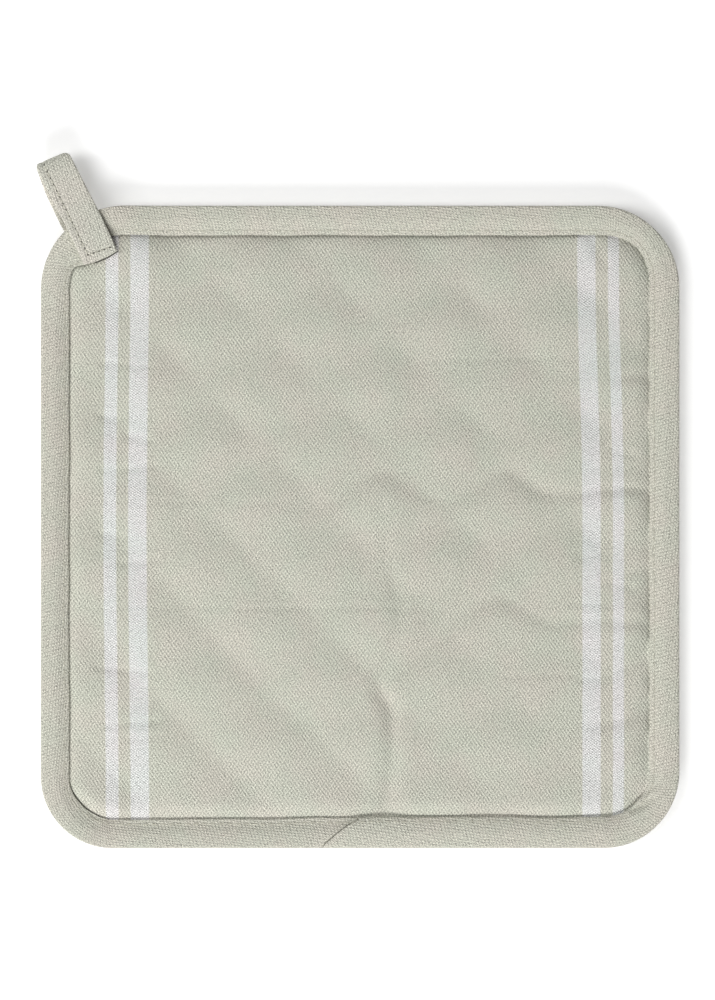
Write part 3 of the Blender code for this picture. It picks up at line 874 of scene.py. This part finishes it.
def lap_height(run, total):
    """How far the tape stands over its usual height near the lap: the upper end, then the groove."""
    if run < LAP_FADE:
        return LAP_RISE * float(fade(run, 0.0, LAP_FADE)) - (0.0 if run else LAP_GROOVE)
    return -LAP_GROOVE * float(fade(total - run, *LAP_GROOVE_FADE))


class POTHOLDER_OT_binding(bpy.types.Operator):
    """Build the tape folded round the pad's edge, with its lapped end"""
    bl_idname = "pot_holder.binding"
    bl_label = "Binding tape"

    def execute(self, context):
        runs = outline_runs()
        total = sum(reach for reach, _ in runs)
        stops = binding_stops(total)
        steps = [row[4] for row in TAPE_SECTION]
        section = curve_through([row[:4] for row in TAPE_SECTION], steps, closed=True)
        stations = []
        for run in stops:
            edge, normal = outline_at(runs, run)
            stations.append((run, edge, normal, tape_width(edge, normal), lap_height(run, total)))

        def row_place(row, developed):
            share, inset, height, rise = row
            upper = share_between(height, *LEAN_HEIGHTS)

            def place(number):
                run, edge, normal, width, lapped = stations[number]
                depth = share * width + inset * MM
                spot = edge - normal * depth
                slant = 0.0
                if normal.y == -1.0:
                    outward = share_between(1.0 - depth / width, *LAP_SLANT_BAND)
                    near = float(fade(abs(edge.x - LAP_X), 0.0, LAP_REACH))
                    slant = LAP_SLANT * near * outward ** LAP_CURVE
                    spot.x += slant
                left_of_lap = float(fade(edge.x, LAP_X - UNDER_LEAN_FADE, LAP_X))
                lean = TOP_LEAN if normal.y > 0.0 else UNDER_LEAN * left_of_lap
                lean *= upper * (LEAN_LINE - depth / width) * normal.y ** 2
                level = (height * MM + rise * lapped + self.pucker(run, depth, width, height) + lean
                         + float(corner_lift(spot.x, spot.y)))
                return Vector((*spot, level)), (run + slant) / MM, developed / MM
            return place

        developed = 0.0
        rows = [row_place(section[0], developed)]
        for before, row in zip(section, section[1:] + section[:1]):
            share, inset, height = (row - before)[:3]
            developed += math.hypot(share * sizes().tape_top + inset * MM, height * MM)
            rows.append(row_place(row, developed))
        bm = swept(len(stations), rows)
        bmesh.ops.remove_doubles(bm, verts=bm.verts, dist=0.001 * MM)
        tape = tape_object(bm, "binding_tape", "Cotton canvas tape", colours().tape)
        places = points_of(tape.data).astype(float)
        top = places[:, 2] > PLEATED_ABOVE
        places[top, 2] -= crease_depth(TAPE_CREASES, places[top, 0], places[top, 1])
        set_points(tape.data, places)
        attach(tape, BODY)
        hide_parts("binding")
        return {"FINISHED"}

    @staticmethod
    def pucker(run, depth, width, height):
        """Small ripples across the tape, and the dimples that its stitches pull into both faces."""
        from_row = (depth - (width - STITCH_ROW)) / DIMPLE_HALF
        pull = 0.5 + 0.5 * math.cos(2 * math.pi * run / sizes().stitch)
        dimple = (DIMPLE_ROW + DIMPLE_STITCH * pull ** 3) * math.exp(-from_row ** 2)
        if height < TAPE_BACK:
            return DIMPLE_BACK * dimple
        if height < TAPE_FACE:
            return 0.0
        ripples = sum(reach * noise.noise((run / along, depth / across, seed))
                      for along, across, reach, seed in TAPE_RIPPLES)
        return ripples * min(1.0, depth / TAPE_RIPPLE_FADE) - dimple


# Hanging loop ---------------------------------------------------------------------------------------

def loop_place(across, along, height):
    """World place of a point given across the loop (to the right), along its axis and in height."""
    right = Vector((math.cos(LOOP_LEAN), math.sin(LOOP_LEAN), 0.0))
    forward = Vector((-math.sin(LOOP_LEAN), math.cos(LOOP_LEAN), 0.0))
    return Vector((LOOP_X, LOOP_Y, height)) + right * across + forward * along


def loop_slant(width, along, travelled):
    """How far a point, so many millimetres right of the loop's axis, lies back from straight across:
    the ends run aslant, and the sewn end bulges."""
    share = LOOP_ASLANT[0] + (LOOP_ASLANT[1] - LOOP_ASLANT[0]) * along / LOOP_ROUNDED
    off_middle = (width - LOOP_BULGE_MIDDLE) / LOOP_BULGE_HALF
    bulge = LOOP_BULGE * max(1.0 - off_middle ** 2, 0.0) * max(1.0 - travelled / LOOP_BULGE_FADE, 0.0)
    return share * width * MM + bulge


class POTHOLDER_OT_hanging_loop(bpy.types.Operator):
    """Build the folded tape that doubles over the corner"""
    bl_idname = "pot_holder.hanging_loop"
    bl_label = "Hanging loop"

    def execute(self, context):
        line = [point * MM for point in curve_through(LOOP_PATH, [9] * len(LOOP_PATH), closed=False)]
        section = curve_through(LOOP_SECTION, [2] * len(LOOP_SECTION), closed=True)
        def row_place(middle, outward, travelled):
            along, level, shift = middle
            thickness = LOOP_THICK * (1.0 - LOOP_BLUNT * max(0.0, 1.0 - travelled / LOOP_BLUNT_LENGTH))

            def place(number):
                width, thick = section[number]
                offset = outward * (thick * thickness / 2)
                beyond = max(along + offset.x - LOOP_ROUNDED, 0.0) / LOOP_ROUNDED_LENGTH
                side = width / LOOP_HALF
                rounding = LOOP_ROUNDING[side > 0.0] * beyond ** 2.5 * side ** 3
                spot = loop_place(width * MM - shift - rounding,
                                  along + offset.x - loop_slant(width, along, travelled), level + offset.y)
                return spot, travelled / MM, width
            return place

        travelled = 0.0
        rows = []
        for number, middle in enumerate(line):
            middle[1] = max(middle[1], LOOP_THICK / 2)
            heading = line[min(number + 1, len(line) - 1)] - line[max(number - 1, 0)]
            if number:
                travelled += float(np.hypot(*(middle - line[number - 1])[:2]))
            rows.append(row_place(middle, Vector((-heading[1], heading[0])).normalized(), travelled))
        bm = swept(len(section), rows)
        bmesh.ops.holes_fill(bm, edges=[edge for edge in bm.edges if edge.is_boundary], sides=0)
        loop = tape_object(bm, "loop_tape", "Cotton canvas loop tape", colours().loop)
        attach(loop, BODY)
        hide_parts("hanging_loop")
        return {"FINISHED"}


# Stitches -------------------------------------------------------------------------------------------

def surface_of(name):
    """Finder of the nearest surface of a piece that is already built."""
    piece = bpy.data.objects[name]
    return BVHTree.FromPolygons(
        [vert.co for vert in piece.data.vertices], [face.vertices for face in piece.data.polygons])


def on_surface(surface, place, below):
    """Where a line straight down, or straight up from below, first meets the surface."""
    start = Vector((place.x, place.y, -0.05 if below else 0.05))
    return surface.ray_cast(start, Vector((0.0, 0.0, 1.0 if below else -1.0)))[0]


def sew(surface, line, below):
    """Stitches along a line of places, each from one place to most of the way to the next: for each
    one, the matrix that lays a thread of unit radius and unit half length along X there. Below they
    are pressed flat."""
    thread = sizes().thread
    proud, thick = (0.0, thread / 4) if below else (thread * 0.15, thread / 2)
    laid = []
    for place, following in zip(line, line[1:]):
        start, end = (on_surface(surface, place.lerp(following, share), below) for share in STITCH_SHOWS)
        if start and end and abs(start.z - end.z) < STITCH_STEEP:
            run = end - start
            middle = Matrix.Translation((start + end) / 2 + Vector((0.0, 0.0, proud)))
            turn = run.to_track_quat("X", "Z").to_matrix().to_4x4()
            laid.append(middle @ turn @ Matrix.Diagonal((run.length / 2, thread / 2, thick, 1.0)))
    return laid


def hole_shade_marks(surface, line, long, wide):
    """A small dark mark between two stitches, painted shade where the thread dives into its hole: laid like
    the stitches.
    """
    holes = []
    for place, following in zip(line, line[1:] + line[-2:-1]):
        spot = on_surface(surface, place, False)
        if spot:
            run = following - place
            turn = Matrix.Rotation(math.atan2(run.y, run.x), 4, "Z")
            holes.append(Matrix.Translation(spot) @ turn @ Matrix.Diagonal((long, wide, HOLE_THICK, 1.0)))
    return holes


def stitches_object(name, laid, thread):
    """All the stitches of a piece as one mesh, or all its dark marks of painted shade: one rounded thread,
    tapered at both ends, repeated.
    """
    bm = bmesh.new()
    bmesh.ops.create_uvsphere(bm, u_segments=8, v_segments=6, radius=1.0)
    bmesh.ops.rotate(bm, verts=bm.verts, matrix=Matrix.Rotation(math.pi / 2, 3, "Y"))
    one = np.array([(*vert.co, 1.0) for vert in bm.verts])
    sides = [[vert.index for vert in face.verts] for face in bm.faces]
    bm.free()
    places = np.einsum("sij,pj->spi", np.array(laid), one)[:, :, :3].reshape(-1, 3)
    faces = [[number + len(one) * copy for number in side] for copy in range(len(laid)) for side in sides]
    mesh = bpy.data.meshes.new(name)
    mesh.from_pydata(places, [], faces)
    mesh.shade_smooth()
    mesh.materials.append(thread)
    return link_object(name, mesh)


def binding_row():
    """Places of the binding's stitches, all the way round."""
    runs = outline_runs()
    total = sum(reach for reach, _ in runs)
    count = round(total / sizes().stitch)
    row = []
    for number in range(count + 1):
        edge, normal = outline_at(runs, min(total * number / count, total))
        row.append(edge - normal * (tape_width(edge, normal) - STITCH_ROW))
    return row


def quilting_rows():
    """Places of the stitches along every quilting seam, as far as the tape."""
    size = sizes()
    reach = math.ceil(1.5 * HALF_HEIGHT / size.quilt_pitch)
    step = BACK_STITCH * math.sqrt(0.5)
    rows = []
    for turn in (1.0, -1.0):
        for seam in range(-reach, reach + 1):
            row = []
            for number in range(int(-HALF_WIDTH / step), int(HALF_WIDTH / step) + 1):
                x = number * step
                y = size.quilt_y + turn * ((seam + 0.5) * size.quilt_pitch - (x - size.quilt_x))
                if inside_tape(x, y):
                    row.append(Vector((x, y)))
            rows.append(row)
    return rows


def inside_tape(x, y):
    """Whether a place lies within the binding's inner edge, with room for a stitch."""
    radius, gain = corner_of(x, y)
    beyond_x = max(abs(x) - (HALF_WIDTH - radius), 0.0)
    beyond_y = max(abs(y) - (HALF_HEIGHT - radius), 0.0)
    border = sizes().tape_bottom + STITCH_ROOM + (gain if beyond_x and beyond_y else 0.0)
    return math.hypot(beyond_x, beyond_y) < radius - border


def loop_rows():
    """Places of the loop's edge row on its upper and its lower leg, and of the row that holds both."""
    return [[loop_place((first[0] + step[0] * number) * MM, (first[1] + step[1] * number) * MM, 0.0)
             for number in range(count)] for first, step, count in LOOP_ROWS]


def loop_end_line():
    """Places just before the loop's sewn end, along its curve, for the dark marks that paint the shadow in
    the crevice beneath it.
    """
    shift = LOOP_PATH[0][2]
    return [loop_place((width - shift) * MM, -loop_slant(width, 0.0, 0.0) - END_OFF, 0.0)
            for width in END_PLACES]


class POTHOLDER_OT_stitches(bpy.types.Operator):
    """Sew the binding, the loop and the quilting of the back, and paint shade into the loop's needle holes
    and under its sewn end
    """
    bl_idname = "pot_holder.stitches"
    bl_label = "Stitches"

    def execute(self, context):
        thread = sewing_thread("Cotton sewing thread", colours().thread)
        # Dark material that paints the shade in the needle holes and under the loop's sewn end
        shade = sewing_thread("Painted shade in the needle holes and under the loop's end", colours().hole)
        tape, loop, pad = (surface_of(name) for name in ("binding_tape", "loop_tape", "quilted_pad"))
        upper, lower, across = loop_rows()
        rows = {
            ("edge_stitches", "binding_tape"): (
                sew(tape, binding_row(), below=False) + sew(tape, binding_row(), below=True)),
            ("loop_stitches", "loop_tape"): (
                sew(loop, upper, below=False) + sew(loop, lower, below=True)
                + sew(loop, across, below=False) + sew(loop, across, below=True)),
            ("back_quilting_stitches", "face_cloth"): [
                stitch for row in quilting_rows() for stitch in sew(pad, row, below=True)],
        }
        holes = {
            # Dark marks of painted shade in the loop's needle holes
            ("loop_needle_hole_shade", "loop_tape"): (
                hole_shade_marks(loop, upper, *HOLES_EDGE) + hole_shade_marks(loop, across, *HOLES_ACROSS)),
            # A row of dark marks along the loop's sewn end: painted shadow of the crevice under it
            ("loop_end_painted_shadow", "loop_tape"): hole_shade_marks(pad, loop_end_line(), *HOLES_END),
        }
        for (name, slot), laid in (*rows.items(), *holes.items()):
            stitches = stitches_object(name, laid, shade if (name, slot) in holes else thread)
            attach(stitches, BODY)
        return {"FINISHED"}


# Cloth ----------------------------------------------------------------------------------------------

def add(material, kind, inputs=None, **settings):
    """Add a node with its settings; an input is a value, or a node whose first live output feeds it."""
    node = material.node_tree.nodes.new(kind)
    for name, value in settings.items():
        setattr(node, name, value)
    for socket, value in (inputs or {}).items():
        if isinstance(value, bpy.types.Node):
            source = next(output for output in value.outputs if output.enabled)
            material.node_tree.links.new(source, node.inputs[socket])
        else:
            node.inputs[socket].default_value = value
    return node


def new_material(name):
    """A material with an empty node tree."""
    material = bpy.data.materials.new(name)
    material.use_nodes = True
    material.node_tree.nodes.clear()
    return material


def new_cloth(name):
    """A material, and its node for each point's own place on the cloth, in millimetres."""
    material = new_material(name)
    return material, add(material, "ShaderNodeUVMap", uv_map="Weave")


def threads(material, place, across, up):
    """Threads as a wave from -1 to 1, by their number for each millimetre across and up."""
    turn = add(material, "ShaderNodeVectorMath",
               {0: place, 1: (across * 2 * math.pi, up * 2 * math.pi, 0.0)}, operation="DOT_PRODUCT")
    return add(material, "ShaderNodeMath", {0: turn}, operation="SINE")


def strayed(material, place, grain, reach):
    """The place, strayed by so many millimetres in lumps about a grain wide, as hand-laid cloth is."""
    stray = add(material, "ShaderNodeTexNoise", {"Vector": place, "Scale": 1 / grain, "Detail": 1.0})
    centred = add(material, "ShaderNodeVectorMath", {1: (0.5, 0.5, 0.5)}, operation="SUBTRACT")
    material.node_tree.links.new(stray.outputs["Color"], centred.inputs[0])
    return add(material, "ShaderNodeVectorMath", {0: centred, 1: (reach, reach, 0.0), 2: place},
               operation="MULTIPLY_ADD")


def finish_cloth(material, tint, height, depth):
    """Matt cotton: rough, hardly glossy, with a faint bloom of loose fibres, and its weave as relief."""
    bump = add(material, "ShaderNodeBump", {"Strength": 1.0, "Distance": depth, "Height": height})
    shader = add(material, "ShaderNodeBsdfPrincipled", {
        "Base Color": tint, "Normal": bump, "Roughness": 0.95, "Specular IOR Level": 0.15,
        "Sheen Weight": 0.1, "Sheen Roughness": 0.6})
    add(material, "ShaderNodeOutputMaterial", {"Surface": shader})
    return material


def patchy(material, pattern, weave, low, high):
    """The pattern, stronger and weaker from patch to patch, as ribs come and go in cloth."""
    patch = add(material, "ShaderNodeTexNoise", {"Vector": weave, "Scale": 1 / PATCH_GRAIN, "Detail": 2.0})
    strength = add(material, "ShaderNodeMapRange", {
        0: patch, 1: PATCH_BAND[0], 2: PATCH_BAND[1], 3: low, 4: high})
    return add(material, "ShaderNodeMath", {0: pattern, 1: strength}, operation="MULTIPLY")


def tinted(material, base, height, contrast, yarn, slubs):
    """The base colour, lighter on raised threads, with uneven yarn: specks of single threads, then
    slubs, and a faint drift from warm to cool as the dye took."""
    weave = weave_of(material)
    speck, slub, drift = (
        add(material, "ShaderNodeTexNoise", {"Vector": weave, "Scale": scale, "Detail": detail})
        for scale, detail in ((SPECK_SCALE, 1.0), (SLUB_SCALE, 2.0), (DRIFT_SCALE, 2.0)))
    shade = add(material, "ShaderNodeMath", {0: height, 1: contrast, 2: 1.0 - (yarn + slubs) / 2},
                operation="MULTIPLY_ADD")
    shade = add(material, "ShaderNodeMath", {0: speck, 1: yarn, 2: shade}, operation="MULTIPLY_ADD")
    shade = add(material, "ShaderNodeMath", {0: slub, 1: slubs, 2: shade}, operation="MULTIPLY_ADD")
    warmth = add(material, "ShaderNodeMapRange", {
        0: drift, 1: DRIFT_BAND[0], 2: DRIFT_BAND[1], 3: DRIFT_RANGE[0], 4: DRIFT_RANGE[1]})
    warm = add(material, "ShaderNodeVectorMath", {0: warmth, 1: WARM_SHIFT, 2: (1.0, 1.0, 1.0)},
               operation="MULTIPLY_ADD")
    tint = add(material, "ShaderNodeVectorMath", {0: base, 1: warm}, operation="MULTIPLY")
    return add(material, "ShaderNodeVectorMath", {0: tint, "Scale": shade}, operation="SCALE")


def weave_of(material):
    return next(node for node in material.node_tree.nodes if node.bl_idname == "ShaderNodeUVMap")


def face_cloth():
    """Cotton twill, yarn dyed: fine diagonal ribs, with bleached stripes woven in a steep hatch."""
    material, weave = new_cloth("Cotton twill, yarn dyed")
    laid = strayed(material, weave, *TWILL_STRAY)
    rib = patchy(material, threads(material, laid, *TWILL_MAIN), weave, *RIB_PATCHES)
    pick = patchy(material, threads(material, laid, *TWILL_CROSS), weave, *PICK_PATCHES)
    ribs = add(material, "ShaderNodeMath", {0: rib, 1: pick}, operation="ADD")
    hatch = add(material, "ShaderNodeMath", {
        0: threads(material, laid, *HATCH_MAIN), 1: threads(material, laid, *HATCH_CROSS)}, operation="ADD")
    hatch = patchy(material, hatch, weave, *HATCH_PATCHES)
    fuzzy = add(material, "ShaderNodeSeparateXYZ", {0: strayed(material, weave, *STRIPE_FUZZ)})
    mask = None
    for left, right in STRIPES:
        off_middle = add(material, "ShaderNodeMath", {0: fuzzy, 1: (left + right) / 2}, operation="SUBTRACT")
        off_middle = add(material, "ShaderNodeMath", {0: off_middle}, operation="ABSOLUTE")
        half = (right - left) / 2
        inside = add(material, "ShaderNodeMapRange", {
            0: off_middle, 1: half - STRIPE_EDGE[0], 2: half + STRIPE_EDGE[1], 3: 1.0, 4: 0.0})
        mask = add(material, "ShaderNodeMath", {0: mask, 1: inside}, operation="MAXIMUM") if mask else inside
    # This node takes numbers at its inputs 2 and 3, and colours at 6 and 7
    height = add(material, "ShaderNodeMix", {0: mask, 2: ribs, 3: hatch})
    base = add(material, "ShaderNodeMix", {0: mask, 6: colours().face, 7: colours().stripe},
               data_type="RGBA")
    return finish_cloth(material, tinted(material, base, height, *TWILL_YARN), height, FACE_RELIEF)


def plain_cloth(name, base, weft, warp, depth):
    """A plain weave, over one and under one, whose threads are waves for each millimetre along and
    across."""
    material, weave = new_cloth(name)
    laid = strayed(material, weave, *PLAIN_STRAY)
    weft = threads(material, laid, *weft)
    warp = threads(material, laid, *warp)
    knot = add(material, "ShaderNodeMath", {0: warp, 1: WARP_STRENGTH, 2: weft}, operation="MULTIPLY_ADD")
    knot = add(material, "ShaderNodeMath", {0: weft, 1: warp, 2: knot}, operation="MULTIPLY_ADD")
    knot = patchy(material, knot, weave, *KNOT_PATCHES)
    return finish_cloth(material, tinted(material, tuple(base)[:3], knot, *PLAIN_YARN), knot, depth)


def sewing_thread(name, base):
    """Spun cotton sewing thread, tone on tone: a little smoother than the cloth, with its twist."""
    material = new_material(name)
    place = add(material, "ShaderNodeTexCoord")
    twist = add(material, "ShaderNodeTexNoise", {"Scale": 1 / THREAD_TWIST, "Detail": 1.0})
    material.node_tree.links.new(place.outputs["Object"], twist.inputs["Vector"])
    shade = add(material, "ShaderNodeMath", {0: twist, 1: THREAD_SHADE[0], 2: THREAD_SHADE[1]},
                operation="MULTIPLY_ADD")
    tint = add(material, "ShaderNodeVectorMath", {0: tuple(base)[:3], "Scale": shade}, operation="SCALE")
    return finish_cloth(material, tint, twist, THREAD_RELIEF)


def back_cloth():
    """Cotton lining cloth, plain weave: flat and close, in the ground's colour."""
    return plain_cloth(
        "Cotton lining cloth, plain weave", colours().face, LINING_WEFT, LINING_WARP, LINING_RELIEF)


def tape_cloth(name, base):
    """Cotton canvas tape, cut a few degrees off its threads, so that its grid runs aslant."""
    return plain_cloth(name, base, TAPE_WEFT, TAPE_WARP, TAPE_RELIEF)


# Stage ----------------------------------------------------------------------------------------------

def soft_light(name, place, width, height, power):
    """A soft box that looks at the pot holder."""
    light = bpy.data.lights.new(name, "AREA")
    light.shape = "RECTANGLE"
    light.size = width
    light.size_y = height
    light.energy = power
    box = link_object(name, light)
    box.location = place
    box.rotation_euler = (-box.location).to_track_quat("-Z", "Y").to_euler()


class POTHOLDER_OT_stage(bpy.types.Operator):
    """Set the pale floor, the soft light and the camera straight above"""
    bl_idname = "pot_holder.stage"
    bl_label = "Stage"

    def execute(self, context):
        bm = bmesh.new()
        bmesh.ops.create_grid(bm, x_segments=1, y_segments=1, size=3.0)
        # Light table of white acrylic: matt, and lit from below, so that shadows on it stay pale
        material = new_material("White acrylic light table")
        shader = add(material, "ShaderNodeBsdfPrincipled", {
            "Base Color": colours().floor, "Roughness": 1.0, "Specular IOR Level": 0.0,
            "Emission Color": colours().floor, "Emission Strength": FLOOR_GLOW})
        add(material, "ShaderNodeOutputMaterial", {"Surface": shader})
        floor = add_object(bm, "floor", [material], smooth=False)

        for light in LIGHTS:
            soft_light(*light)
        world = bpy.data.worlds.new("studio")
        world.use_nodes = True
        world.node_tree.nodes["Background"].inputs["Color"].default_value = (1.0, 1.0, 1.0, 1.0)
        world.node_tree.nodes["Background"].inputs["Strength"].default_value = ROOM_LIGHT
        context.scene.world = world
        context.scene.view_settings.view_transform = "Standard"

        camera = link_object("camera", bpy.data.cameras.new("camera"))
        camera.data.sensor_fit = "VERTICAL"
        camera.data.lens = camera.data.sensor_height * CAMERA_HEIGHT / (PHOTO_HEIGHT * PIXEL)
        camera.location = (CAMERA_X, CAMERA_Y, CAMERA_HEIGHT + TRUE_HEIGHT)
        context.scene.camera = camera
        return {"FINISHED"}


class POTHOLDER_PT_panel(bpy.types.Panel):
    """Lists the pot holder's pieces in the order in which they are built"""
    bl_idname = "POTHOLDER_PT_panel"
    bl_label = "Pot holder"
    bl_space_type = "VIEW_3D"
    bl_region_type = "UI"
    bl_category = "Pot holder"

    def draw(self, context):
        for group in (context.scene.pot_holder_sizes, context.scene.pot_holder_colours):
            for name in group.__annotations__:
                self.layout.prop(group, name)
        for operator in OPERATORS:
            self.layout.operator(operator.bl_idname)


OPERATORS = (
    POTHOLDER_OT_stage,
    POTHOLDER_OT_pad,
    POTHOLDER_OT_binding,
    POTHOLDER_OT_hanging_loop,
    POTHOLDER_OT_stitches,
)
CLASSES = (PotHolderSizes, PotHolderColours, *OPERATORS, POTHOLDER_PT_panel)


def register():
    for item in CLASSES:
        bpy.utils.register_class(item)
    bpy.types.Scene.pot_holder_sizes = bpy.props.PointerProperty(type=PotHolderSizes)
    bpy.types.Scene.pot_holder_colours = bpy.props.PointerProperty(type=PotHolderColours)


def unregister():
    del bpy.types.Scene.pot_holder_colours
    del bpy.types.Scene.pot_holder_sizes
    for item in reversed(CLASSES):
        bpy.utils.unregister_class(item)


def main():
    register()
    for operator in OPERATORS:
        group, name = operator.bl_idname.split(".")
        getattr(getattr(bpy.ops, group), name)()


if __name__ == "__main__":
    main()
